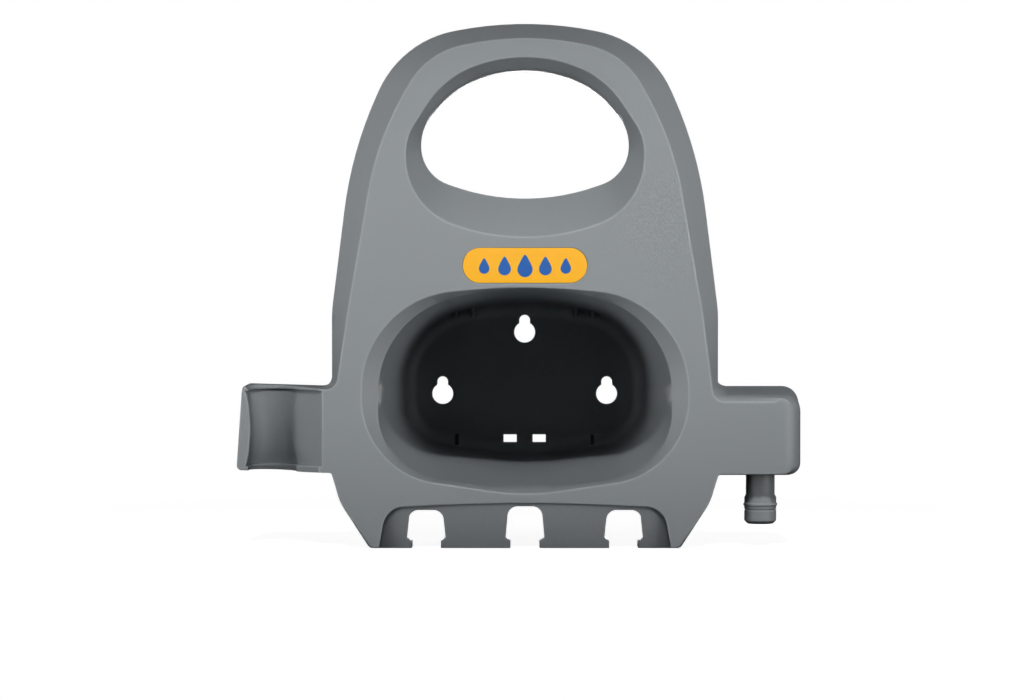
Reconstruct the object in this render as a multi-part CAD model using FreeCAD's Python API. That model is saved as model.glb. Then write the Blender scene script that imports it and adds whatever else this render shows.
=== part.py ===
import FreeCAD, Part
import math
import os
from FreeCAD import Vector

# Wall hanger for a garden hose, moulded in one piece, in millimetres.
# X is to the right, Z is up, and the wall is the plane y = 0, so the front faces -Y.
# The origin lies on the wall, midway between the two side keyholes.

# Overall sizes
reach = 150.0            # wall to the front face
wall = 3.0               # moulded wall of the flange and the drum
back_plate = 3.0         # plate that is screwed to the wall
draft = 1.0              # the pocket's skirt widens by this much from its shoulder to its rear
bevel_wall = 0.8 * wall  # wall at the front edge of a bevel
bevel_back = wall / 3    # and how far its back lies behind its front
lap = 1.0                # cutters and fused pieces overlap their neighbours by this much
cutter_run = 10.0        # cutters run on past the outside by this much
side_share = 0.98        # two arcs may take up this share of the straight side between them

# Flange: its front edge, its bevelled band and its skirt
flange_top = 190.7       # crown of the flange above the origin
flange_half = 97.0       # half width above the arms
flange_bottom = -72.5    # lower edge
bevel_depth = 10.0       # the band falls back by this much
skirt_depth = 22.0       # depth of the skirt round the handle
arm_depth = 41.0         # depth of the skirt round the two arms
foot_depth = 26.0        # depth of the skirt at the foot
skirt_above_waist = 14.0 # the skirt starts to deepen this far above the waist
skirt_above_arm = 8.0    # and has its full depth from this far above the pocket
skirt_below_arm = 3.0
skirt_below_knee = 8.0

# Crown, shoulder and flank of the flange outline. A band is how far the crease lies inside it.
crown_slope = math.radians(11.2)
crown_radius = 180.0
crown_band = 7.7
crown_band_radius = 40.0 # the crease turns more sharply than the outline by this much
shoulder_across = 62.4
shoulder_up = 182.0
shoulder_radius = 52.0
shoulder_band = 13.1
shoulder_band_up = 5.9
shoulder_band_radius = 12.0
flank_across = 87.0
flank_up = 126.8
flank_radius = 200.0
flank_band = 12.9
flank_band_up = -3.9
flank_band_radius = 50.0
waist_up = 47.0
waist_radius = 60.0
waist_band = 8.4
root_band = 2.4
foot_band = 1.0

# Arms: a closed pocket on the right, an open cradle on the left
arm_top = 8.0            # top of the pocket at the rear
arm_top_front = 5.0      # and at the shoulder line
pocket_side = 138.5
pocket_bottom = -35.5
pocket_round = 9.0       # width of the round edge on the pocket's outer side
pocket_round_top = 3.6   # and along its top
pocket_round_low = 0.8   # and along its underside
edge_steps = 3           # steps of that round edge
pocket_top_corner = 8.5
pocket_low_corner = 6.0
pocket_top_tighten = 4.0 # its corners are tighter by this much in the face
pocket_low_tighten = 1.5
cradle_side = 142.7      # measured level with the origin
cradle_lean = 0.07       # its outer side leans out downwards by this slope
cradle_top = 9.5
cradle_slope = 0.03      # its top and its foot fall towards the root by this slope
cradle_bottom = -33.2
cradle_bevel = 0.5
cradle_corner = 2.5
arm_root = 6.0           # inner corner between flank and arm
arm_heel = 1.5           # inner corner between an arm and the flange below it

# Foot: the flange narrows below the arms
foot_knee_across = 93.5
foot_knee_up = -49.0
foot_knee_radius = 30.0
foot_half = 78.2
foot_corner = 3.0

# Handle hole: its edge lies behind the face, inside a bevel that widens to a scoop below
hole_half = 52.4
hole_top = 167.8
hole_bottom = 103.3
hole_shoulder = 139.1    # height where the sides turn into the upper curve
hole_bevel = 7.3
hole_bevel_top = 6.0
hole_scoop = 19.3        # the bevel is this wide below the hole
hole_bevel_depth = 14.0
hole_top_slope = math.radians(20.0)
hole_foot_slope = math.radians(19.3)
hole_top_radius = 66.0
hole_foot_radius = 108.0
hole_turn = 0.67         # its upper curve turns down at this share of the half width
hole_turn_radius = 48.0
hole_side_radius = 27.0
hole_low_radius = 23.0
hole_low_ease = 14.0     # the bevel's outer edge turns more gently below by this much
hole_shoulder_drop = 5.4 # and has its shoulder this much lower

# Compartment: a drafted bowl whose outside is the drum that carries the hose
bowl_half = 73.8         # half width at its neck, behind the bevel of its mouth
bowl_top = 57.6
bowl_bottom = -42.0
bowl_top_corner = 49.0
bowl_low_corner = 34.0
bowl_taper = 9.6         # its walls close in by this much towards the back plate
bowl_back_round = 7.0    # rounding between its walls and the back plate
bowl_back_steps = 3      # steps of that rounding
bowl_crown = (150.0, math.radians(11.0))    # radius above the middle, slope beside it
bowl_keel = (120.0, math.radians(7.0))
drum_chamfer = 3.0       # chamfer of the drum against the wall

# Bevel round the bowl's mouth, wide at the sides and narrow above and below
mouth_bevel = 8.2
mouth_rise = 1.2
mouth_drop = 2.6
mouth_depth = 6.0
mouth_top_corner = 50.0
mouth_low_corner = 43.0
mouth_crown = (300.0, math.radians(5.0))
mouth_keel = (120.0, math.radians(8.5))

# Holes in the back plate
keyhole_pitch = 88.0
keyhole_upper = 33.0     # height of the third keyhole
keyhole_head = 5.6       # radius that passes the screw's head
keyhole_neck = 2.85      # half width of the neck
keyhole_rise = 9.3       # neck's end above the head's centre
drain_centre = 7.8
drain_width = 7.0
drain_height = 4.2
drain_up = -24.0
slit_across = 36.3
slit_width = 2.0
slit_height = 7.0
slit_up = -25.5
slit_floor = 1.0         # the two slits are grooves that leave this much of the plate

# Ribs under the compartment's ceiling
rib_inner = 27.0
rib_outer = 36.0
rib_thickness = 1.6
rib_drop = 7.0           # below the ceiling's crown
rib_length = 26.0

# Foot panel with its three clip openings
panel_half = 74.9        # at the bottom end of its cutter
panel_lean = 5.2         # it is this much narrower at the top
panel_top = -48.3
panel_sag = 3.1          # its top edge falls by this much towards the sides
panel_crown = 900.0
panel_corner = 11.0
panel_step = 0.6
panel_fall = 7.0
clip_pitch = 49.6
clip_half = 9.7
clip_taper = 1.4         # its sides close in by this much at the top
clip_neck = 7.3
clip_top = -52.8
clip_middle_top = -50.9
clip_ledge = -67.0
clip_ledge_fall = 1.8
clip_corner = 5.0
clip_collar = 2.2
clip_collar_depth = 12.0

# Cradle channel: an upright gutter, narrowest halfway up, with a sloping flank towards the face
channel_across = -127.0
channel_inset = 14.0     # its axis lies this far behind the front face
channel_waist = 10.4
channel_flare = 2.9      # it is this much wider at both ends
channel_steps = 2        # steps of its curve, each way from the waist
channel_flank = 25.6     # the flank meets the face this far from the axis
channel_lip = 1.4        # a rim stands up by this much at both ends
channel_lip_length = 2.4
channel_run = 2.0        # its cutter runs on by this much at both ends

# Spigot under the pocket
spigot_across = 119.0
spigot_inset = 21.0
spigot_tip = -60.8
spigot_shank = 7.3
spigot_collar = 8.1
spigot_bead = 0.5        # a ring stands out from the collar and a groove sinks in by this much
spigot_ease = 0.4        # height over which they do
spigot_chamfer = 1.6
spigot_groove_up = 7.2   # heights above the tip
spigot_ring_low = 9.4
spigot_ring_high = 10.2
spigot_collar_top = 13.4
spigot_shank_low = 14.8
spigot_bore = 4.6
spigot_wall_end = 3.0

# Badge
badge_length = 62.0
badge_height = 17.5
badge_up = 69.8
badge_thickness = 0.8
badge_seat = 0.4
badge_gap = 0.15
badge_round = 0.999      # its ends are round to this share of half its height

# Stiffening ribs behind the flange
web_thickness = 2.0
web_depth = 12.0
web_pitch = 30.0
web_level = 22.0

front = -reach
shoulder = front + bevel_depth
rear = front + arm_depth


class Corner:
    """A corner of an outline: its place and the radius that rounds it."""

    def __init__(self, x, z, radius):
        self.x = x
        self.z = z
        self.radius = radius


def turn_at(before, here, after):
    """Direction in, direction out and signed turn at a corner (positive is to the left)."""
    way_in = Vector(here.x - before.x, 0, here.z - before.z).normalize()
    way_out = Vector(after.x - here.x, 0, after.z - here.z).normalize()
    cross = way_in.x * way_out.z - way_in.z * way_out.x
    dot = way_in.x * way_out.x + way_in.z * way_out.z
    return way_in, way_out, math.atan2(cross, dot)


def neighbours(corners):
    count = len(corners)
    for i in range(count):
        yield corners[i - 1], corners[i], corners[(i + 1) % count]


def setbacks(corners):
    """How far each corner's arc starts from the corner, held short where a side has no room for both."""
    wanted = []
    for before, here, after in neighbours(corners):
        turn = turn_at(before, here, after)[2]
        wanted.append(here.radius * math.tan(abs(turn) / 2))
    held = list(wanted)
    for i, here in enumerate(corners):
        j = (i + 1) % len(corners)
        room = side_share * math.hypot(corners[j].x - here.x, corners[j].z - here.z)
        share = min(1.0, room / max(wanted[i] + wanted[j], 0.01))
        held[i] = min(held[i], wanted[i] * share)
        held[j] = min(held[j], wanted[j] * share)
    return held


def outline(corners, y):
    """Closed wire at depth y: straight sides with an arc at each corner that has a radius."""
    ends = []
    for (before, here, after), back in zip(neighbours(corners), setbacks(corners)):
        way_in, way_out, turn = turn_at(before, here, after)
        half = abs(turn) / 2
        radius = back / math.tan(half)
        point = Vector(here.x, y, here.z)
        towards = (way_out - way_in).normalize()
        middle = point + towards * (radius / math.cos(half) - radius)
        ends.append((point - way_in * back, middle, point + way_out * back))
    edges = []
    for i, (start, middle, end) in enumerate(ends):
        if corners[i].radius > 0:
            edges.append(Part.Arc(start, middle, end).toShape())
        next_start = ends[(i + 1) % len(ends)][0]
        edges.append(Part.LineSegment(end, next_start).toShape())
    return Part.Wire(edges)


def grown(corners, distance):
    """The same outline moved out by a distance, or in by a negative one. Corners run clockwise."""
    moved = []
    for before, here, after in neighbours(corners):
        way_in, way_out, turn = turn_at(before, here, after)
        out_a = Vector(-way_in.z, 0, way_in.x)
        out_b = Vector(-way_out.z, 0, way_out.x)
        shift = (out_a + out_b) * (distance / (1 + out_a.dot(out_b)))
        radius = max(here.radius + distance * (1 if turn < 0 else -1), 0.5)
        if here.radius == 0:
            radius = 0
        moved.append(Corner(here.x + shift.x, here.z + shift.z, radius))
    return moved


def mirrored(corners):
    """The left half of an outline, in running order, from its right half."""
    return [Corner(-c.x, c.z, c.radius) for c in reversed(corners)]


def stack(rings):
    """Solid through outlines at their depths, with straight walls between them."""
    return Part.makeLoft([outline(corners, y) for corners, y in rings], True, True)


def prism(corners, y0, y1):
    """Solid with one outline from depth y0 to depth y1."""
    return Part.Face(outline(corners, y0)).extrude(Vector(0, y1 - y0, 0))


def box(x0, x1, y0, y1, z0, z1):
    return Part.makeBox(x1 - x0, y1 - y0, z1 - z0, Vector(x0, y0, z0))


# Flange outline

def crown_corner(top, radius):
    lift = radius / math.cos(crown_slope) - radius
    return Corner(0, top + lift, radius)


def flank(inset):
    """Corners from shoulder to waist on the right. Inset 0 is the silhouette, 1 is the crease."""
    return [
        Corner(shoulder_across - shoulder_band * inset, shoulder_up - shoulder_band_up * inset,
               shoulder_radius - shoulder_band_radius * inset),
        Corner(flank_across - flank_band * inset, flank_up - flank_band_up * inset,
               flank_radius - flank_band_radius * inset),
        Corner(flange_half - waist_band * inset, waist_up, waist_radius),
    ]


def foot(inset):
    """Corners of the foot on the right."""
    edge = foot_band * inset
    return [
        Corner(foot_knee_across - edge, foot_knee_up, foot_knee_radius),
        Corner(foot_half - edge, flange_bottom + edge, foot_corner),
    ]


def arm_root_corner(inset, top):
    """Inner corner where the flank meets the top of an arm."""
    return Corner(flange_half - root_band * inset, top, arm_root)


def pocket(inset, rounding, grow):
    """Corners of the pocket, from its root round its outer side to the foot."""
    side = pocket_side - pocket_round * rounding + draft * grow
    top = arm_top_front - pocket_round_top * rounding + (arm_top - arm_top_front) * grow
    low = pocket_bottom + pocket_round_low * rounding - draft * grow
    return [
        arm_root_corner(inset, top),
        Corner(side, top, pocket_top_corner - pocket_top_tighten * rounding),
        Corner(side, low, pocket_low_corner - pocket_low_tighten * rounding),
        Corner(flange_half, low, arm_heel),
    ]


def cradle(inset):
    """Corners of the cradle, as they would lie on the right; the whole outline mirrors them."""
    side = cradle_side - cradle_bevel * inset
    top = cradle_top - cradle_bevel * inset
    low = cradle_bottom + cradle_bevel * inset
    side_top = side - cradle_lean * top
    side_low = side - cradle_lean * low
    return [
        arm_root_corner(inset, top - (side_top - flange_half) * cradle_slope),
        Corner(side_top, top, cradle_corner),
        Corner(side_low, low, cradle_corner),
        Corner(flange_half, low - (side_low - flange_half) * cradle_slope, arm_heel),
    ]


def flange(inset, rounding=None, grow=0.0):
    """Whole flange outline: the crease at inset 1, the silhouette at 0, the rear when grown by 1."""
    if rounding is None:
        rounding = inset
    crown = [crown_corner(flange_top - crown_band * inset, crown_radius - crown_band_radius * inset)]
    right = flank(inset) + pocket(inset, rounding, grow) + foot(inset)
    left = flank(inset) + cradle(inset) + foot(inset)
    return crown + right + mirrored(left)


def flange_block():
    """Outer form of the flange: a straight bevel round the flanks, a round edge on the pocket."""
    rings = []
    for step in range(edge_steps + 1):
        angle = math.pi / 2 * step / edge_steps
        depth = front + bevel_depth * (1 - math.cos(angle))
        rings.append((flange(math.cos(angle), 1 - math.sin(angle)), depth))
    rings.append((flange(0.0, grow=1.0), rear))
    return stack(rings)


def flange_hollow():
    """Hollow behind the face, open towards the wall."""
    return stack([
        (grown(flange(1.0), bevel_wall - wall - lap), front + wall),
        (grown(flange(0.0), -wall), shoulder + lap),
        (grown(flange(0.0, grow=1.0), -wall), rear + lap),
    ])


def skirt_trim():
    """All that lies behind the skirt's rear edge, which is deepest round the arms."""
    above, below = flange_top + cutter_run, flange_bottom - cutter_run
    edge = [
        (front + skirt_depth, above),
        (front + skirt_depth, waist_up + skirt_above_waist),
        (rear, arm_top + skirt_above_arm),
        (rear, pocket_bottom - skirt_below_arm),
        (front + foot_depth, foot_knee_up - skirt_below_knee),
        (front + foot_depth, below),
        (cutter_run, below),
        (cutter_run, above),
    ]
    side = cradle_side + cutter_run
    points = [Vector(-side, y, z) for y, z in edge]
    face = Part.Face(Part.makePolygon(points + points[:1]))
    return face.extrude(Vector(2 * side, 0, 0))


# Handle hole

def handle_outline(inset):
    """Edge of the handle hole at inset 0, outer edge of its bevel at 1."""
    half = hole_half + hole_bevel * inset
    rise = hole_bevel_top * inset
    drop = hole_scoop * inset
    radius = hole_top_radius + rise
    crown = hole_top + rise + radius / math.cos(hole_top_slope) - radius
    keel = hole_bottom - drop - hole_foot_radius / math.cos(hole_foot_slope) + hole_foot_radius
    turn = half * hole_turn
    right = [
        Corner(turn, crown - turn * math.tan(hole_top_slope), hole_turn_radius),
        Corner(half, hole_shoulder - hole_shoulder_drop * inset, hole_side_radius),
        Corner(half, keel + half * math.tan(hole_foot_slope), hole_low_radius + hole_low_ease * inset),
    ]
    return [Corner(0, crown, radius)] + right + [Corner(0, keel, hole_foot_radius)] + mirrored(right)


def handle_tool():
    bevel = stack([(handle_outline(1.0), front - 0.01), (handle_outline(0.0), front + hole_bevel_depth)])
    return bevel.fuse(prism(handle_outline(0.0), front + hole_bevel_depth - lap, rear))


def handle_collar():
    """Wall behind the bevel and round the hole, back to the skirt's rear edge."""
    lip = stack([
        (grown(handle_outline(1.0), bevel_wall), front + bevel_back),
        (grown(handle_outline(0.0), wall), front + hole_bevel_depth + bevel_back),
    ])
    rim = prism(grown(handle_outline(0.0), wall), front + hole_bevel_depth, front + skirt_depth)
    return lip.fuse(rim)


# Compartment

def bowl_ring(half, top, low, corners, crown, keel):
    """Section of the bowl: wide arcs above and below, each with a slope at both its sides."""
    peak = top + crown[0] / math.cos(crown[1]) - crown[0]
    foot_up = low - keel[0] / math.cos(keel[1]) + keel[0]
    right = [
        Corner(half, peak - half * math.tan(crown[1]), corners[0]),
        Corner(half, foot_up + half * math.tan(keel[1]), corners[1]),
    ]
    return [Corner(0, peak, crown[0])] + right + [Corner(0, foot_up, keel[0])] + mirrored(right)


def mouth():
    """Outer edge of the mouth's bevel, in the front face."""
    corners = (mouth_top_corner, mouth_low_corner)
    return bowl_ring(bowl_half + mouth_bevel, bowl_top + mouth_rise, bowl_bottom - mouth_drop,
                     corners, mouth_crown, mouth_keel)


def neck():
    """Inner edge of the mouth's bevel, from which the walls run back evenly."""
    corners = (bowl_top_corner, bowl_low_corner)
    return bowl_ring(bowl_half, bowl_top, bowl_bottom, corners, bowl_crown, bowl_keel)


def bowl_tool():
    """Hollow of the bowl: bevelled mouth, drafted walls and a round edge at the back plate."""
    rings = [(mouth(), front - 0.01), (neck(), front + mouth_depth)]
    for step in range(bowl_back_steps + 1):
        angle = math.pi / 2 * step / bowl_back_steps
        inset = bowl_taper + bowl_back_round * (1 - math.cos(angle))
        depth = -back_plate - bowl_back_round * (1 - math.sin(angle))
        rings.append((grown(neck(), -inset), depth))
    return stack(rings)


def drum():
    """Outside of the bowl, one wall larger, with a chamfer against the wall."""
    outside = wall - bowl_taper
    return stack([
        (grown(mouth(), bevel_wall), front + bevel_back),
        (grown(neck(), wall), front + mouth_depth + bevel_back),
        (grown(neck(), outside), -drum_chamfer),
        (grown(neck(), outside - drum_chamfer), 0.0),
    ])


def keyhole(x, z):
    y0, length = -2 * back_plate, 3 * back_plate
    neck_top = z + keyhole_rise - keyhole_neck
    head = Part.makeCylinder(keyhole_head, length, Vector(x, y0, z), Vector(0, 1, 0))
    slot = box(x - keyhole_neck, x + keyhole_neck, y0, y0 + length, z, neck_top)
    tip = Part.makeCylinder(keyhole_neck, length, Vector(x, y0, neck_top), Vector(0, 1, 0))
    return head.fuse([slot, tip])


def plate_hole(x, z, width, height, end):
    """Square hole in the back plate that runs back to the depth given as its end."""
    return box(x - width / 2, x + width / 2, -2 * back_plate, end, z - height / 2, z + height / 2)


def plate_holes():
    holes = [keyhole(side * keyhole_pitch / 2, 0) for side in (-1, 1)]
    holes.append(keyhole(0, keyhole_upper))
    for side in (-1, 1):
        holes.append(plate_hole(side * drain_centre, drain_up, drain_width, drain_height, back_plate))
        holes.append(plate_hole(side * slit_across, slit_up, slit_width, slit_height, -slit_floor))
    return holes


def ceiling_ribs():
    """Short ribs under the bowl's ceiling, against the back plate, kept inside the drum."""
    ceiling = bowl_top - bowl_taper
    outside = drum()
    ribs = []
    for across in (-rib_outer, -rib_inner, rib_inner, rib_outer):
        x0 = across - rib_thickness / 2
        rib = box(x0, x0 + rib_thickness, -back_plate - rib_length, -back_plate / 2,
                  ceiling - rib_drop, ceiling)
        ribs.append(rib.common(outside))
    return ribs


# Foot panel and clip openings

def panel_outline():
    right = [
        Corner(panel_half - panel_lean, panel_top - panel_sag, panel_corner),
        Corner(panel_half, flange_bottom - cutter_run, 0),
    ]
    return [Corner(0, panel_top, panel_crown)] + right + mirrored(right)


def panel_wedge(behind):
    """Space in front of the sloping panel, or of a plane that lies this far behind it."""
    slope = panel_fall / (panel_top - flange_bottom)
    above, below = panel_top + cutter_run / 2, flange_bottom - cutter_run
    at_top = front + panel_step + behind
    points = [
        (front - cutter_run, above),
        (at_top - (above - panel_top) * slope, above),
        (at_top + (panel_top - below) * slope, below),
        (front - cutter_run, below),
    ]
    points = [Vector(-flange_half, y, z) for y, z in points]
    return Part.Face(Part.makePolygon(points + points[:1])).extrude(Vector(2 * flange_half, 0, 0))


def clip_outline(across, top):
    low = flange_bottom - cutter_run
    right = [
        Corner(clip_half - clip_taper, top, clip_corner),
        Corner(clip_half, clip_ledge, 0),
        Corner(clip_neck, clip_ledge - clip_ledge_fall, 0),
        Corner(clip_neck, low, 0),
    ]
    return [Corner(across + c.x, c.z, c.radius) for c in right + mirrored(right)]


def clips():
    places = [(-clip_pitch, clip_top), (0.0, clip_middle_top), (clip_pitch, clip_top)]
    return [clip_outline(across, top) for across, top in places]


# Cradle channel

def channel_profile(extra):
    """Half of the channel's upright section, from its axis to its wall, grown by some distance."""
    low, high = cradle_bottom - channel_run, cradle_top + channel_run
    middle = (low + high) / 2
    half = (cradle_top - cradle_bottom) / 2
    curve = (half ** 2 + channel_flare ** 2) / (2 * channel_flare)
    y = front + channel_inset
    points = [Vector(channel_across, y, low)]
    for step in range(-channel_steps, channel_steps + 1):
        rise = (high - middle) * step / channel_steps
        radius = channel_waist + extra + curve - math.sqrt(curve ** 2 - rise ** 2)
        points.append(Vector(channel_across - radius, y, middle + rise))
    points.append(Vector(channel_across, y, high))
    return Part.Face(Part.makePolygon(points + points[:1]))


def flank_wedge(extra):
    """Straight flank from the channel's bottom to the front face and past it, grown by some distance."""
    low, high = cradle_bottom - channel_run, cradle_top + channel_run
    centre = Vector(channel_across, front + channel_inset, low)
    reach_out = Vector(channel_flank, -channel_inset, 0)
    reach_out = reach_out * (1 + extra / channel_waist)
    turn = math.acos((channel_waist + extra) / reach_out.Length)
    way = math.atan2(reach_out.y, reach_out.x) + turn
    touch = centre + Vector(math.cos(way), math.sin(way), 0) * (channel_waist + extra)
    way_out = centre + reach_out - touch
    edge = touch + way_out * ((front - lap - touch.y) / way_out.y)
    points = [centre, Vector(centre.x, edge.y, low), edge, touch]
    return Part.Face(Part.makePolygon(points + points[:1])).extrude(Vector(0, 0, high - low))


def channel(extra):
    """The channel with a round bottom, an upright left wall and its flank, grown by some distance."""
    section = channel_profile(extra)
    bottom = section.revolve(Vector(channel_across, front + channel_inset, 0), Vector(0, 0, 1), -180)
    left = section.extrude(Vector(0, -channel_inset - lap, 0))
    return bottom.fuse([left, flank_wedge(extra)])


def channel_tool():
    """The channel's hollow, which is narrower within the rims at its two ends."""
    side = cradle_side + cutter_run
    between = box(-side, 0, front - cutter_run, rear,
                  cradle_bottom + channel_lip_length, cradle_top - channel_lip_length)
    return channel(0.0).common(between).fuse(channel(-channel_lip))


# Stiffening ribs behind the flange

def webs():
    """Upright ribs from the drum to the handle's collar, and level ones beside the drum."""
    y0, y1 = front + wall / 2, front + wall + web_depth
    half = web_thickness / 2
    ribs = []
    for across in (-web_pitch, 0.0, web_pitch):
        ribs.append(box(across - half, across + half, y0, y1, bowl_top, hole_bottom - lap))
    for side in (-1, 1):
        inner, outer = side * bowl_half, side * (flange_half - lap)
        ribs.append(box(min(inner, outer), max(inner, outer), y0, y1, web_level - half, web_level + half))
    return ribs


# Spigot

def spigot():
    """Turned plug that parks a push-on hose connector, with a bore in its tip."""
    y = front + spigot_inset
    root = pocket_bottom + wall / 2
    collar = spigot_collar
    ring, groove = collar + spigot_bead, collar - spigot_bead
    steps = [
        (spigot_shank, spigot_shank_low),
        (collar, spigot_collar_top),
        (collar, spigot_ring_high + spigot_ease),
        (ring, spigot_ring_high),
        (ring, spigot_ring_low),
        (collar, spigot_ring_low - spigot_ease),
        (collar, spigot_groove_up + spigot_ease),
        (groove, spigot_groove_up),
        (collar, spigot_groove_up - spigot_ease),
        (collar, spigot_chamfer),
        (collar - spigot_chamfer, 0),
        (0, 0),
    ]
    profile = [(0, root), (spigot_shank, root)] + [(r, spigot_tip + up) for r, up in steps]
    points = [Vector(spigot_across + r, y, z) for r, z in profile]
    face = Part.Face(Part.makePolygon(points + points[:1]))
    solid = face.revolve(Vector(spigot_across, y, 0), Vector(0, 0, 1), 360)
    depth = root - spigot_wall_end - spigot_tip
    return solid.cut(Part.makeCylinder(spigot_bore, depth, Vector(spigot_across, y, spigot_tip)))


# Badge

def badge_outline(gap):
    half = badge_length / 2 + gap
    tall = badge_height / 2 + gap
    ends = [Corner(half, badge_up + side * tall, badge_round * tall) for side in (1, -1)]
    return ends + mirrored(ends)


def badge():
    return prism(badge_outline(0.0), front - badge_thickness + badge_seat, front + badge_seat)


# Whole body

def added_pieces(block):
    """All that thickens or stiffens the shell, kept inside the flange's outer form."""
    panel = prism(grown(panel_outline(), wall), front, rear).common(panel_wedge(wall))
    inside = webs() + [panel, channel(wall)]
    for corners in clips():
        inside.append(prism(grown(corners, clip_collar), front + lap, front + clip_collar_depth))
    return [drum(), handle_collar()] + [piece.common(block) for piece in inside]


def cutters():
    """All hollows and holes that are cut into the joined shell."""
    panel = prism(panel_outline(), front - lap, rear).common(panel_wedge(0.0))
    seat = prism(badge_outline(badge_gap), front - lap, front + badge_seat)
    openings = [prism(corners, front - lap, rear) for corners in clips()]
    return [handle_tool(), bowl_tool(), channel_tool(), panel, seat] + openings + plate_holes()


def hanger_body():
    block = flange_block().cut(skirt_trim())
    shell = block.cut(flange_hollow())
    body = shell.fuse(added_pieces(block)).cut(cutters())
    return body.fuse(ceiling_ribs() + [spigot()]).removeSplitter()


def main():
    os.makedirs("parts", exist_ok=True)
    for name, shape in (("hanger_body", hanger_body()), ("badge", badge())):
        solids = shape.Solids
        print(name, "solids", len(solids), "valid", shape.isValid(), "volume", round(shape.Volume / 1000, 1))
        part = solids[0] if len(solids) == 1 else shape
        part.exportStep("parts/" + name + ".step")


main()
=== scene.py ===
import logging
import math
from dataclasses import dataclass, field
from enum import Enum

import bmesh
import bpy
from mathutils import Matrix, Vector


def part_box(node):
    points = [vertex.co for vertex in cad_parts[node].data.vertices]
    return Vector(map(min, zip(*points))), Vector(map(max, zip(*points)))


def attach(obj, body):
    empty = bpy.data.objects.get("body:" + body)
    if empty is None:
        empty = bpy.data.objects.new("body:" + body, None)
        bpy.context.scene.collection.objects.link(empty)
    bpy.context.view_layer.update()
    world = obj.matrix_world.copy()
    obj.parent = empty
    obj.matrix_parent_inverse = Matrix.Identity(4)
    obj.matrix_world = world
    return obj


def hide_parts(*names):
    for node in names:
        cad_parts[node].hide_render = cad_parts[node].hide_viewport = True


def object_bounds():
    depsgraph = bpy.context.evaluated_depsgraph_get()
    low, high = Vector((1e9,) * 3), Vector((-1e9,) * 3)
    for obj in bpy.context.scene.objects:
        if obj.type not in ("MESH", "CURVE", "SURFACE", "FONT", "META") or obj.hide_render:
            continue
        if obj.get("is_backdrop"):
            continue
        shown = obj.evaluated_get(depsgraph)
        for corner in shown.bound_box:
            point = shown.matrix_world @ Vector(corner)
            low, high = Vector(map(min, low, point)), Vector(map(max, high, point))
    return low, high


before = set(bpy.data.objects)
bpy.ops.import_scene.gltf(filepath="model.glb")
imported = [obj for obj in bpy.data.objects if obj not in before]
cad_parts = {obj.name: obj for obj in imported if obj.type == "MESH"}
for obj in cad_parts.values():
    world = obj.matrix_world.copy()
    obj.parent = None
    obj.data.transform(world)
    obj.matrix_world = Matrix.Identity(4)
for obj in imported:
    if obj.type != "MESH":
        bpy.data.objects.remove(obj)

log = logging.getLogger("hose_hanger")

BODY = "root"

WHITE = (1.0, 1.0, 1.0, 1.0)
NOISE_MEAN = 0.5
COARSE_SCALE = 0.28     # scale of the coarse grain against the fine one
FLECK_SCALE = 900.0     # per metre
PAINTED_SHADE_SAMPLES = 8      # rays of the occlusion test for the painted shade in deep hollows
EDGE_SAMPLES = 4        # rays of the tests for edges
EDGE_REACH = 4.0        # how far from an edge open air is looked for, in radii
PAINTED_HIGHLIGHT_FADE = 6.0         # how fast the painted highlight fades where air is less open
NO_LENGTH = 1e-9        # length under which a vector has no direction


class Slot(Enum):
    """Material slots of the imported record."""

    PLASTIC = "grey_plastic"
    BADGE = "badge_yellow"


Socket = bpy.types.NodeSocket
Tree = bpy.types.NodeTree


# Shader helpers

def add(tree: Tree, kind: str, **settings: object) -> bpy.types.Node:
    """Adds a node and sets its attributes.

    Args:
        tree: the node tree that takes it.
        kind: the node's type name.
        settings: attributes to set on it.

    Returns:
        The new node.
    """
    node = tree.nodes.new(kind)
    for name, value in settings.items():
        setattr(node, name, value)
    return node


def feed(tree: Tree, target: Socket, source: object) -> None:
    """Links a socket to the target, or writes a plain value on it."""
    if isinstance(source, bpy.types.NodeSocket):
        tree.links.new(source, target)
    else:
        target.default_value = source


def maths(
    tree: Tree, operation: str, a: object, b: object = 0.0, c: object = None, clamp: bool = False
) -> Socket:
    """Adds a Math node.

    Args:
        tree: the node tree.
        operation: its operation.
        a: first input, a socket or a number.
        b: second input, a socket or a number.
        c: third input, for the operations that have one.
        clamp: whether the result is held between 0 and 1.

    Returns:
        The result socket.
    """
    node = add(tree, "ShaderNodeMath", operation=operation, use_clamp=clamp)
    feed(tree, node.inputs[0], a)
    feed(tree, node.inputs[1], b)
    if c is not None:
        feed(tree, node.inputs[2], c)
    return node.outputs[0]


def scale_colour(tree: Tree, colour: Socket, gain: Socket) -> Socket:
    """Multiplies a colour by a value and returns the colour socket."""
    node = add(tree, "ShaderNodeVectorMath", operation="SCALE")
    feed(tree, node.inputs["Vector"], colour)
    feed(tree, node.inputs["Scale"], gain)
    return node.outputs["Vector"]


def noise(tree: Tree, vector: Socket, scale: object, detail: float, rough: float) -> Socket:
    """Adds a Noise Texture and returns its value socket."""
    node = add(tree, "ShaderNodeTexNoise")
    feed(tree, node.inputs["Vector"], vector)
    feed(tree, node.inputs["Scale"], scale)
    node.inputs["Detail"].default_value = detail
    node.inputs["Roughness"].default_value = rough
    return node.outputs["Fac"]


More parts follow.
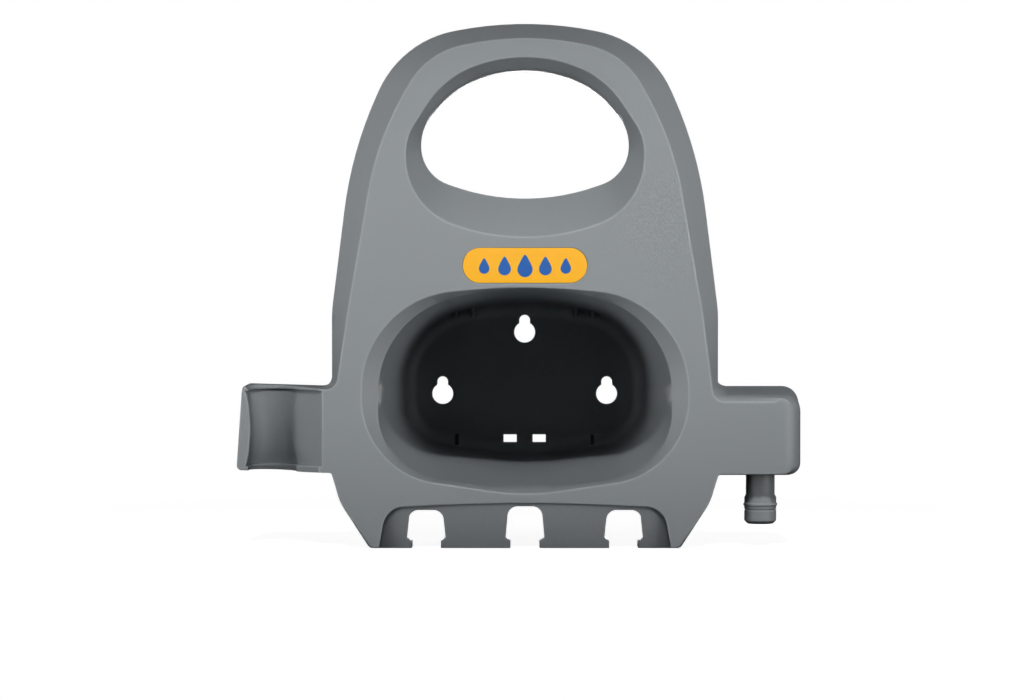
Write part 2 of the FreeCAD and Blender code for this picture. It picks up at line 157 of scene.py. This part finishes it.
def new_group(name: str, inputs: dict[str, tuple[str, object]], outputs: dict[str, str]) -> Tree:
    """Makes a shader node group with named sockets.

    Args:
        name: the group's name.
        inputs: socket name to its type and default value.
        outputs: socket name to its type.

    Returns:
        The group's tree, with a Group Input and a Group Output node.
    """
    tree = bpy.data.node_groups.new(name, "ShaderNodeTree")
    for label, (kind, value) in inputs.items():
        socket = tree.interface.new_socket(name=label, in_out="INPUT", socket_type=kind)
        socket.default_value = value
    for label, kind in outputs.items():
        tree.interface.new_socket(name=label, in_out="OUTPUT", socket_type=kind)
    add(tree, "NodeGroupInput")
    add(tree, "NodeGroupOutput")
    return tree


def ends(tree: Tree) -> tuple[bpy.types.NodeOutputs, bpy.types.NodeInputs]:
    """Returns the Group Input's outputs and the Group Output's inputs."""
    return tree.nodes["Group Input"].outputs, tree.nodes["Group Output"].inputs


def use_group(tree: Tree, name: str, values: dict[str, object]) -> bpy.types.Node:
    """Adds a node that uses one of the groups.

    Args:
        tree: the node tree that takes it.
        name: the group's name.
        values: input name to a socket or a plain value.

    Returns:
        The group's node.
    """
    node = add(tree, "ShaderNodeGroup", node_tree=bpy.data.node_groups[name])
    for label, value in values.items():
        feed(tree, node.inputs[label], value)
    return node


def new_material(name: str) -> bpy.types.Material:
    """Makes a material with an empty node tree."""
    material = bpy.data.materials.new(name)
    material.use_nodes = True
    material.node_tree.nodes.clear()
    return material


def spark_texture_group() -> Tree:
    """Builds the fine eroded grain that a mould leaves on plastic.

    Returns:
        A group that puts out a height and a fine mask.
    """
    tree = new_group(
        "Spark texture",
        {"Grain": ("NodeSocketFloat", 1500.0), "Coarse share": ("NodeSocketFloat", 0.35)},
        {"Height": "NodeSocketFloat", "Mask": "NodeSocketFloat"},
    )
    given, out = ends(tree)
    place = add(tree, "ShaderNodeTexCoord").outputs["Object"]
    fine = noise(tree, place, given["Grain"], detail=2.0, rough=0.6)
    wider = maths(tree, "MULTIPLY", given["Grain"], COARSE_SCALE)
    coarse = noise(tree, place, wider, detail=3.0, rough=0.55)
    share = maths(tree, "MULTIPLY", coarse, given["Coarse share"])
    feed(tree, out["Height"], maths(tree, "ADD", fine, share))
    feed(tree, out["Mask"], fine)
    return tree


def mottle_group() -> Tree:
    """Builds the slow change of tone that moulded plastic has over its face.

    Returns:
        A group that tints a colour.
    """
    tree = new_group(
        "Mottle",
        {
            "Colour": ("NodeSocketColor", (0.5, 0.5, 0.5, 1.0)),
            "Scale": ("NodeSocketFloat", 14.0),
            "Amount": ("NodeSocketFloat", 0.06),
            "Fleck": ("NodeSocketFloat", 0.04),
        },
        {"Colour": "NodeSocketColor"},
    )
    given, out = ends(tree)
    place = add(tree, "ShaderNodeTexCoord").outputs["Object"]
    cloud = noise(tree, place, given["Scale"], detail=3.0, rough=0.5)
    slow = maths(tree, "MULTIPLY", maths(tree, "SUBTRACT", cloud, NOISE_MEAN), given["Amount"])
    speck = noise(tree, place, FLECK_SCALE, detail=1.0, rough=0.5)
    fast = maths(tree, "MULTIPLY", maths(tree, "SUBTRACT", speck, NOISE_MEAN), given["Fleck"])
    gain = maths(tree, "ADD", maths(tree, "ADD", slow, fast), 1.0)
    feed(tree, out["Colour"], scale_colour(tree, given["Colour"], gain))
    return tree


def painted_recess_shade_group() -> Tree:
    """Builds painted shade: it darkens the colour in deep hollows, less so on faces that point up,
    which keep painted light from above.

    Returns:
        A group that darkens a colour inside hollows, as painted shade.
    """
    tree = new_group(
        "Painted recess shade",
        {
            "Colour": ("NodeSocketColor", (0.5, 0.5, 0.5, 1.0)),
            "Reach": ("NodeSocketFloat", 0.1),
            "Closed": ("NodeSocketFloat", 0.15),
            "Open": ("NodeSocketFloat", 0.55),
            "Kept in painted shade": ("NodeSocketFloat", 0.4),
            "Painted top light share": ("NodeSocketFloat", 1.0),
        },
        {"Colour": "NodeSocketColor"},
    )
    given, out = ends(tree)
    occlusion = add(tree, "ShaderNodeAmbientOcclusion", samples=PAINTED_SHADE_SAMPLES)
    feed(tree, occlusion.inputs["Distance"], given["Reach"])
    mask = add(tree, "ShaderNodeMapRange", interpolation_type="SMOOTHSTEP")
    feed(tree, mask.inputs["Value"], occlusion.outputs["AO"])
    feed(tree, mask.inputs["From Min"], given["Closed"])
    feed(tree, mask.inputs["From Max"], given["Open"])
    feed(tree, mask.inputs["To Min"], given["Kept in painted shade"])
    # Faces that point up are spared part of the painted shade: painted light from above.
    normal = add(tree, "ShaderNodeSeparateXYZ")
    feed(tree, normal.inputs["Vector"], add(tree, "ShaderNodeNewGeometry").outputs["Normal"])
    floor = maths(tree, "MULTIPLY", normal.outputs["Z"], given["Painted top light share"], clamp=True)
    lost = maths(tree, "SUBTRACT", 1.0, mask.outputs["Result"])
    spared = maths(tree, "MULTIPLY", lost, floor)
    kept = maths(tree, "ADD", mask.outputs["Result"], spared)
    feed(tree, out["Colour"], scale_colour(tree, given["Colour"], kept))
    return tree


def edge_and_painted_highlight_group() -> Tree:
    """Builds the small radius of a moulding's outer edges, and a painted highlight: a lighter line
    along them.

    Returns:
        A group that puts out the rounded normal, and the mask of the painted highlight, which is 1
        on outer edges.
    """
    tree = new_group(
        "Moulded edge and painted highlight",
        {"Radius": ("NodeSocketFloat", 0.0006), "Turn": ("NodeSocketFloat", 0.06)},
        {"Normal": "NodeSocketVector", "Mask": "NodeSocketFloat"},
    )
    given, out = ends(tree)
    rounded = add(tree, "ShaderNodeBevel", samples=EDGE_SAMPLES)
    feed(tree, rounded.inputs["Radius"], given["Radius"])
    flat = add(tree, "ShaderNodeNewGeometry")
    match = add(tree, "ShaderNodeVectorMath", operation="DOT_PRODUCT")
    feed(tree, match.inputs[0], rounded.outputs["Normal"])
    feed(tree, match.inputs[1], flat.outputs["Normal"])
    turned = maths(tree, "SUBTRACT", 1.0, match.outputs["Value"])
    near_edge = maths(tree, "DIVIDE", turned, given["Turn"], clamp=True)
    # The occlusion test keeps the painted highlight off inner edges.
    occlusion = add(tree, "ShaderNodeAmbientOcclusion", samples=EDGE_SAMPLES)
    reach = maths(tree, "MULTIPLY", given["Radius"], EDGE_REACH)
    feed(tree, occlusion.inputs["Distance"], reach)
    outer = maths(tree, "POWER", occlusion.outputs["AO"], PAINTED_HIGHLIGHT_FADE)
    feed(tree, out["Normal"], rounded.outputs["Normal"])
    feed(tree, out["Mask"], maths(tree, "MULTIPLY", near_edge, outer))
    return tree


@dataclass(frozen=True)
class Finish:
    """A moulded or lacquered finish.

    Attributes:
        name: the material's name.
        colour: base colour, linear.
        roughness: mean roughness.
        roughness_swing: how much the grain moves the roughness.
        grain: how fine the grain is, per metre.
        coarse: share of the coarser grain.
        relief: depth of the grain in metres.
        mottle_scale: how wide the slow clouds are, per metre.
        mottle: how strong they are.
        fleck: how strong the single flecks are.
        specular: specular level.
        edge_round: radius in metres that sharp edges are shaded with.
        painted_edge_highlight: how much lighter outer edges are painted, as a painted highlight.
        painted_shade_deepest: what deep hollows keep of the colour under the painted shade.
    """

    name: str
    colour: tuple[float, float, float]
    roughness: float
    roughness_swing: float = 0.12
    grain: float = 1500.0
    coarse: float = 0.35
    relief: float = 0.00005
    mottle_scale: float = 14.0
    mottle: float = 0.06
    fleck: float = 0.04
    specular: float = 0.5
    edge_round: float = 0.0006
    painted_edge_highlight: float = 0.0
    painted_shade_deepest: float = 1.0

    def build(self) -> bpy.types.Material:
        """Builds the material.

        Returns:
            The new material.
        """
        material = new_material(self.name)
        tree = material.node_tree
        spark = use_group(tree, "Spark texture", {
            "Grain": self.grain,
            "Coarse share": self.coarse,
        })
        mottle = use_group(tree, "Mottle", {
            "Colour": (*self.colour, 1.0),
            "Scale": self.mottle_scale,
            "Amount": self.mottle,
            "Fleck": self.fleck,
        })
        # Painted shade: the colour is darkened in deep hollows.
        painted_shade = use_group(tree, "Painted recess shade", {
            "Colour": mottle.outputs["Colour"],
            "Kept in painted shade": self.painted_shade_deepest,
        })
        # Painted highlight: the colour is lightened along outer edges.
        edge = use_group(tree, "Moulded edge and painted highlight", {"Radius": self.edge_round})
        gain = maths(tree, "MULTIPLY_ADD", edge.outputs["Mask"], self.painted_edge_highlight, 1.0)
        lit = scale_colour(tree, painted_shade.outputs["Colour"], gain)
        bump = add(tree, "ShaderNodeBump")
        bump.inputs["Strength"].default_value = 1.0
        bump.inputs["Distance"].default_value = self.relief
        feed(tree, bump.inputs["Height"], spark.outputs["Height"])
        feed(tree, bump.inputs["Normal"], edge.outputs["Normal"])
        centred = maths(tree, "SUBTRACT", spark.outputs["Mask"], NOISE_MEAN)
        swing = maths(tree, "MULTIPLY", centred, self.roughness_swing)
        rough = maths(tree, "ADD", swing, self.roughness, clamp=True)
        shader = add(tree, "ShaderNodeBsdfPrincipled")
        feed(tree, shader.inputs["Base Color"], lit)
        feed(tree, shader.inputs["Roughness"], rough)
        feed(tree, shader.inputs["Normal"], bump.outputs["Normal"])
        shader.inputs["Specular IOR Level"].default_value = self.specular
        out = add(tree, "ShaderNodeOutputMaterial")
        feed(tree, out.inputs["Surface"], shader.outputs[0])
        return material


# Deep hollows of this plastic get painted shade.
# Outer edges of this plastic get a painted highlight.
PLASTIC = Finish(
    name="grey_moulded_plastic", colour=(0.262, 0.283, 0.296), roughness=0.48,
    edge_round=0.0015, painted_edge_highlight=0.5, painted_shade_deepest=0.33,
)
BADGE_LACQUER = Finish(
    name="yellow_badge_lacquer", colour=(0.98, 0.47, 0.003), roughness=0.34, roughness_swing=0.04,
    grain=700.0, relief=0.000008, mottle_scale=40.0, mottle=0.03, fleck=0.01, edge_round=0.0003,
)
MOTIF_INK = Finish(
    name="blue_motif_ink", colour=(0.004, 0.105, 0.42), roughness=0.36, roughness_swing=0.04,
    grain=900.0, relief=0.000006, mottle_scale=60.0, mottle=0.05, fleck=0.02, edge_round=0.0001,
)


def place_piece(piece: bpy.types.Object, material: bpy.types.Material) -> None:
    """Links a piece to the scene, gives it its material and hangs it on its body."""
    bpy.context.scene.collection.objects.link(piece)
    piece.data.materials.clear()
    piece.data.materials.append(material)
    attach(piece, BODY)
    log.info("%s: %d faces", piece.name, len(piece.data.polygons))


@dataclass
class Shading:
    """Corner normals that keep flat faces flat and let small strips between them look round.

    Attributes:
        weld: distance in metres under which points are one.
        crease: angle in degrees above which an edge stays sharp.
        flat_area: area in square metres from which a flat region keeps its own normal.
        flat_turn: angle in degrees from which an edge between two such regions stays sharp.
        same_plane: angle in degrees under which neighbouring faces are one flat region.
    """

    weld: float = 0.00002
    crease: float = 33.0
    flat_area: float = 0.0014
    flat_turn: float = 8.0
    same_plane: float = 0.5

    def apply(self, mesh: bpy.types.Mesh) -> None:
        """Welds a mesh and writes its corner normals.

        Args:
            mesh: the mesh to shade.
        """
        form = bmesh.new()
        form.from_mesh(mesh)
        bmesh.ops.remove_doubles(form, verts=form.verts, dist=self.weld)
        bmesh.ops.dissolve_degenerate(form, edges=form.edges, dist=self.weld)
        form.faces.ensure_lookup_table()
        form.faces.index_update()
        region, area = self.regions(form)
        sharp = {edge for edge in form.edges if self.is_sharp(edge, region, area)}
        normals = []
        for face in form.faces:
            face.smooth = True
            for loop in face.loops:
                normals.append(self.corner(loop, sharp, region, area))
        for edge in form.edges:
            edge.smooth = edge not in sharp
        form.to_mesh(mesh)
        form.free()
        mesh.normals_split_custom_set([tuple(n) for n in normals])

    def regions(self, form: bmesh.types.BMesh) -> tuple[list[int], list[float]]:
        """Finds the flat regions.

        Args:
            form: the welded mesh.

        Returns:
            The region of each face, and the area of each region.
        """
        limit = math.radians(self.same_plane)
        region = [-1] * len(form.faces)
        area: list[float] = []
        for seed in form.faces:
            if region[seed.index] >= 0:
                continue
            region[seed.index] = len(area)
            total = 0.0
            front = [seed]
            while front:
                face = front.pop()
                total += face.calc_area()
                for edge in face.edges:
                    for other in edge.link_faces:
                        level = seed.normal.angle(other.normal, math.pi) < limit
                        if level and region[other.index] < 0:
                            region[other.index] = len(area)
                            front.append(other)
            area.append(total)
        return region, area

    def is_sharp(self, edge: bmesh.types.BMEdge, region: list[int], area: list[float]) -> bool:
        """Tells whether an edge stays sharp.

        Args:
            edge: the edge.
            region: region of each face.
            area: area of each region.

        Returns:
            True for a crease, and for an edge between two large flat regions.
        """
        if len(edge.link_faces) != 2:
            return True
        one, two = edge.link_faces
        turn = math.degrees(one.normal.angle(two.normal, math.pi))
        if turn > self.crease:
            return True
        large = min(area[region[one.index]], area[region[two.index]]) > self.flat_area
        return large and turn > self.flat_turn

    def corner(
        self,
        loop: bmesh.types.BMLoop,
        sharp: set[bmesh.types.BMEdge],
        region: list[int],
        area: list[float],
    ) -> Vector:
        """Works out the normal of one face corner.

        Args:
            loop: the corner.
            sharp: edges that stay sharp.
            region: region of each face.
            area: area of each region.

        Returns:
            The unit normal.
        """
        vert = loop.vert
        fan = {loop.face}
        front = [loop.face]
        while front:
            face = front.pop()
            for edge in face.edges:
                if vert not in edge.verts or edge in sharp:
                    continue
                for other in edge.link_faces:
                    if other not in fan:
                        fan.add(other)
                        front.append(other)
        largest = max(fan, key=lambda f: area[region[f.index]])
        if area[region[largest.index]] > self.flat_area:
            return largest.normal.copy()
        total = Vector((0, 0, 0))
        for face in fan:
            for own in face.loops:
                if own.vert is vert:
                    total += face.normal * own.calc_angle()
        return total.normalized() if total.length > NO_LENGTH else loop.face.normal.copy()


@dataclass
class Moulding:
    """The one-piece hanger: flange, handle, bowl, cradle, pocket, spigot and clips.

    Attributes:
        node: the solid that it is made from.
        shading: how its corners are shaded.
    """

    node: str = "hanger_body"
    shading: Shading = field(default_factory=Shading)

    def build(self, material: bpy.types.Material) -> bpy.types.Object:
        """Makes the smooth-shaded skin of the moulding and dresses it.

        Args:
            material: the plastic.

        Returns:
            The piece that stands for the solid.
        """
        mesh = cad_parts[self.node].data.copy()
        mesh.name = "moulding"
        self.shading.apply(mesh)
        piece = bpy.data.objects.new("moulding", mesh)
        place_piece(piece, material)
        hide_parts(self.node)
        return piece


@dataclass
class Badge:
    """The lozenge on the face, with a row of water drops on it.

    Attributes:
        node: the badge's solid.
        drop_heights: heights of the drops from left to right, in metres.
        pitch: distance between the drops.
        ink: how far the print stands out, in metres.
        lowered: how far the row lies below the badge's middle, in metres.
        foot_share: radius of a drop's round foot, as a share of its height.
        pinch: how much a drop's sides draw in towards its point.
        point: how sharply it runs up to its point.
        steps: points around a drop.
        shading: how the plate's corners are shaded.
    """

    node: str = "badge"
    drop_heights: tuple[float, ...] = (0.0078, 0.0094, 0.0112, 0.0094, 0.0078)
    pitch: float = 0.0102
    ink: float = 0.00008
    lowered: float = 0.0003
    foot_share: float = 0.34
    pinch: float = 0.35
    point: int = 3
    steps: int = 40
    shading: Shading = field(default_factory=lambda: Shading(flat_area=0.0001))

    def build(
        self, lacquer: bpy.types.Material, print_ink: bpy.types.Material
    ) -> list[bpy.types.Object]:
        """Dresses the badge and prints its drops.

        Args:
            lacquer: the badge's material.
            print_ink: the drops' material.

        Returns:
            The plate and its print.
        """
        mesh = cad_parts[self.node].data.copy()
        mesh.name = "badge_plate"
        self.shading.apply(mesh)
        plate = bpy.data.objects.new("badge_plate", mesh)
        place_piece(plate, lacquer)
        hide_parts(self.node)
        low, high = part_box(self.node)
        centre = (low + high) / 2
        row = centre.z - self.lowered
        form = bmesh.new()
        count = len(self.drop_heights)
        for i, height in enumerate(self.drop_heights):
            across = (i - (count - 1) / 2) * self.pitch
            self.drop(form, Vector((centre.x + across, low.y, row)), height)
        mesh = bpy.data.meshes.new("badge_drops")
        form.to_mesh(mesh)
        form.free()
        drops = bpy.data.objects.new("badge_drops", mesh)
        place_piece(drops, print_ink)
        return [plate, drops]

    def drop(self, form: bmesh.types.BMesh, centre: Vector, height: float) -> None:
        """Adds one raised drop: a round foot that runs up to a point.

        Args:
            form: the mesh that takes it.
            centre: its middle on the badge's face.
            height: its height.
        """
        radius = height * self.foot_share
        foot = Vector((0, 0, -height / 2 + radius))
        outline = []
        for k in range(self.steps):
            angle = 2 * math.pi * k / self.steps
            pull = max(0.0, math.cos(angle)) ** self.point
            x = radius * math.sin(angle) * (1 - self.pinch * pull)
            z = radius * math.cos(angle) + pull * (height - 2 * radius)
            outline.append(centre + foot + Vector((x, 0, z)))
        front = [form.verts.new(p + Vector((0, -self.ink, 0))) for p in outline]
        back = [form.verts.new(p + Vector((0, self.ink, 0))) for p in outline]
        form.faces.new(list(reversed(front)))
        form.faces.new(back)
        for k in range(self.steps):
            j = (k + 1) % self.steps
            form.faces.new((front[k], front[j], back[j], back[k]))
        bmesh.ops.recalc_face_normals(form, faces=form.faces)


@dataclass(frozen=True)
class Lamp:
    """A soft box or a strip light.

    Attributes:
        name: its name.
        aim_height: height of the point on the front face that it faces.
        turn: angle to the side from straight in front, in degrees.
        lift: angle above the floor, in degrees.
        width: its width.
        height: its height.
        spread: angle in degrees over which it fans out.
        power: watts.
    """

    name: str
    aim_height: float
    turn: float
    lift: float
    width: float
    height: float
    spread: float
    power: float


@dataclass
class Studio:
    """Floor, lights and camera.

    Attributes:
        floor_gap: how far the floor lies below the object.
        distance: camera to the front face.
        eye: the camera's place across, and its height.
        aim: point on the front face at the picture's centre, across and up.
        view_width: width of the view at the front face.
        sensor: width of the camera's sensor in millimetres.
        clip: nearest and farthest distance that the camera shows.
        floor_size: width of the floor.
        floor_sides: sides of its outline.
        fill: strength of the even light.
        floor_tone: how pale the floor is to the object.
        floor_shown: how pale it is to the camera.
        floor_glow: light that it adds for the camera, so that its colour meets the white behind it.
        shadow_reach: distance within which it takes shadows.
        white_reach: distance from which it is plain white.
        side_power: watts of each side box.
        low_power: watts of the low strip in front, which faces the handle.
        rear_power: watts of the box behind, which lights only the back.
        top_power: watts of the strip above, which shines into the bowl.
        side_turn: angle of the side boxes from straight in front, in degrees.
        light_distance: distance from the lights to the points that they face.
    """

    floor_gap: float = 0.0004
    distance: float = 2.0
    eye: tuple[float, float] = (-0.0025, 0.0825)
    aim: tuple[float, float] = (-0.00375, 0.0275)
    view_width: float = 0.5175
    sensor: float = 36.0
    clip: tuple[float, float] = (0.05, 50.0)
    floor_size: float = 6.0
    floor_sides: int = 96
    fill: float = 0.04
    floor_tone: float = 0.18
    floor_shown: float = 0.9
    floor_glow: float = 0.91
    shadow_reach: float = 0.12
    white_reach: float = 0.36
    side_power: float = 0.7
    low_power: float = 0.032
    rear_power: float = 0.9
    top_power: float = 0.148
    side_turn: float = 51.0
    light_distance: float = 1.5

    def build(self) -> None:
        """Makes the whole studio."""
        self.world()
        self.floor()
        self.lights()
        self.camera()

    def world(self) -> None:
        """White to the camera, and a weak even fill to everything else."""
        world = bpy.data.worlds.new("studio")
        bpy.context.scene.world = world
        world.use_nodes = True
        tree = world.node_tree
        tree.nodes.clear()
        camera_ray = add(tree, "ShaderNodeLightPath").outputs["Is Camera Ray"]
        strength = maths(tree, "MULTIPLY_ADD", camera_ray, 1.0 - self.fill, self.fill)
        back = add(tree, "ShaderNodeBackground")
        back.inputs["Color"].default_value = WHITE
        feed(tree, back.inputs["Strength"], strength)
        out = add(tree, "ShaderNodeOutputWorld")
        feed(tree, out.inputs["Surface"], back.outputs[0])

    def floor(self) -> None:
        """A pale floor just below the object."""
        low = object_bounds()[0]
        mesh = bpy.data.meshes.new("studio_floor")
        form = bmesh.new()
        bmesh.ops.create_circle(
            form, cap_ends=True, radius=self.floor_size / 2, segments=self.floor_sides
        )
        form.to_mesh(mesh)
        form.free()
        piece = bpy.data.objects.new("studio_floor", mesh)
        piece.location = (0, 0, low.z - self.floor_gap)
        bpy.context.scene.collection.objects.link(piece)
        material = new_material("studio_floor")
        tree = material.node_tree
        camera_ray = add(tree, "ShaderNodeLightPath").outputs["Is Camera Ray"]
        place = add(tree, "ShaderNodeTexCoord").outputs["Object"]
        reach = add(tree, "ShaderNodeVectorMath", operation="LENGTH")
        feed(tree, reach.inputs[0], place)
        far = add(tree, "ShaderNodeMapRange", interpolation_type="SMOOTHSTEP")
        feed(tree, far.inputs["Value"], reach.outputs["Value"])
        far.inputs["From Min"].default_value = self.shadow_reach
        far.inputs["From Max"].default_value = self.white_reach
        pale = add(tree, "ShaderNodeBsdfDiffuse")
        lighter = self.floor_shown - self.floor_tone
        shown = maths(tree, "MULTIPLY_ADD", camera_ray, lighter, self.floor_tone)
        feed(tree, pale.inputs["Color"], shown)
        glow = add(tree, "ShaderNodeEmission")
        glow.inputs["Color"].default_value = WHITE
        feed(tree, glow.inputs["Strength"], maths(tree, "MULTIPLY", camera_ray, self.floor_glow))
        near = add(tree, "ShaderNodeAddShader")
        feed(tree, near.inputs[0], pale.outputs[0])
        feed(tree, near.inputs[1], glow.outputs[0])
        white = add(tree, "ShaderNodeEmission")
        white.inputs["Color"].default_value = WHITE
        both = add(tree, "ShaderNodeMixShader")
        feed(tree, both.inputs["Fac"], maths(tree, "MULTIPLY", camera_ray, far.outputs["Result"]))
        feed(tree, both.inputs[1], near.outputs[0])
        feed(tree, both.inputs[2], white.outputs[0])
        out = add(tree, "ShaderNodeOutputMaterial")
        feed(tree, out.inputs["Surface"], both.outputs[0])
        mesh.materials.append(material)
        piece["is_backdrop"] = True

    def lights(self) -> None:
        """Soft boxes at the sides and behind, and strips for the handle and into the bowl."""
        for name, turn in (("left_box", self.side_turn), ("right_box", -self.side_turn)):
            self.soft_box(Lamp(
                name, aim_height=0.235, turn=turn, lift=-3.0,
                width=0.5, height=0.5, spread=34.0, power=self.side_power,
            ))
        self.soft_box(Lamp(
            "rear_box", aim_height=0.05, turn=180.0, lift=-5.0,
            width=0.45, height=0.1, spread=34.0, power=self.rear_power,
        ))
        self.soft_box(Lamp(
            "low_strip", aim_height=0.15, turn=0.0, lift=-6.5,
            width=0.5, height=0.08, spread=8.0, power=self.low_power,
        ))
        self.soft_box(Lamp(
            "strip", aim_height=0.01, turn=0.0, lift=42.0,
            width=0.6, height=0.1, spread=9.5, power=self.top_power,
        ))

    def soft_box(self, lamp: Lamp) -> None:
        """Adds one area light that faces the object.

        Args:
            lamp: where it stands and how strong it is.
        """
        light = bpy.data.lights.new(lamp.name, "AREA")
        light.shape = "RECTANGLE"
        light.size, light.size_y = lamp.width, lamp.height
        light.energy = lamp.power
        light.spread = math.radians(lamp.spread)
        holder = bpy.data.objects.new(lamp.name, light)
        a, e = math.radians(lamp.turn), math.radians(lamp.lift)
        way = Vector((-math.sin(a) * math.cos(e), -math.cos(a) * math.cos(e), math.sin(e)))
        target = Vector((0.0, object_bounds()[0].y, lamp.aim_height))
        holder.location = target + way * self.light_distance
        holder.rotation_euler = way.to_track_quat("Z", "Y").to_euler()
        bpy.context.scene.collection.objects.link(holder)

    def camera(self) -> None:
        """A long lens square on to the front, a little above the middle."""
        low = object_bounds()[0]
        data = bpy.data.cameras.new("camera")
        camera = bpy.data.objects.new("camera", data)
        eye = Vector((self.eye[0], low.y - self.distance, self.eye[1]))
        aim = Vector((self.aim[0], low.y, self.aim[1]))
        camera.location = eye
        camera.rotation_euler = (eye - aim).to_track_quat("Z", "Y").to_euler()
        data.sensor_width = self.sensor
        data.lens = data.sensor_width * (eye - aim).length / self.view_width
        data.clip_start, data.clip_end = self.clip
        bpy.context.scene.collection.objects.link(camera)
        bpy.context.scene.camera = camera


def main() -> None:
    """Builds the object and its studio."""
    logging.basicConfig(level=logging.INFO, format="%(name)s: %(message)s")
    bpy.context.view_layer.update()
    spark_texture_group()
    mottle_group()
    painted_recess_shade_group()
    edge_and_painted_highlight_group()
    Moulding().build(PLASTIC.build())
    Badge().build(BADGE_LACQUER.build(), MOTIF_INK.build())
    Studio().build()
    bpy.context.scene.view_settings.view_transform = "Standard"


if __name__ == "__main__":
    main()
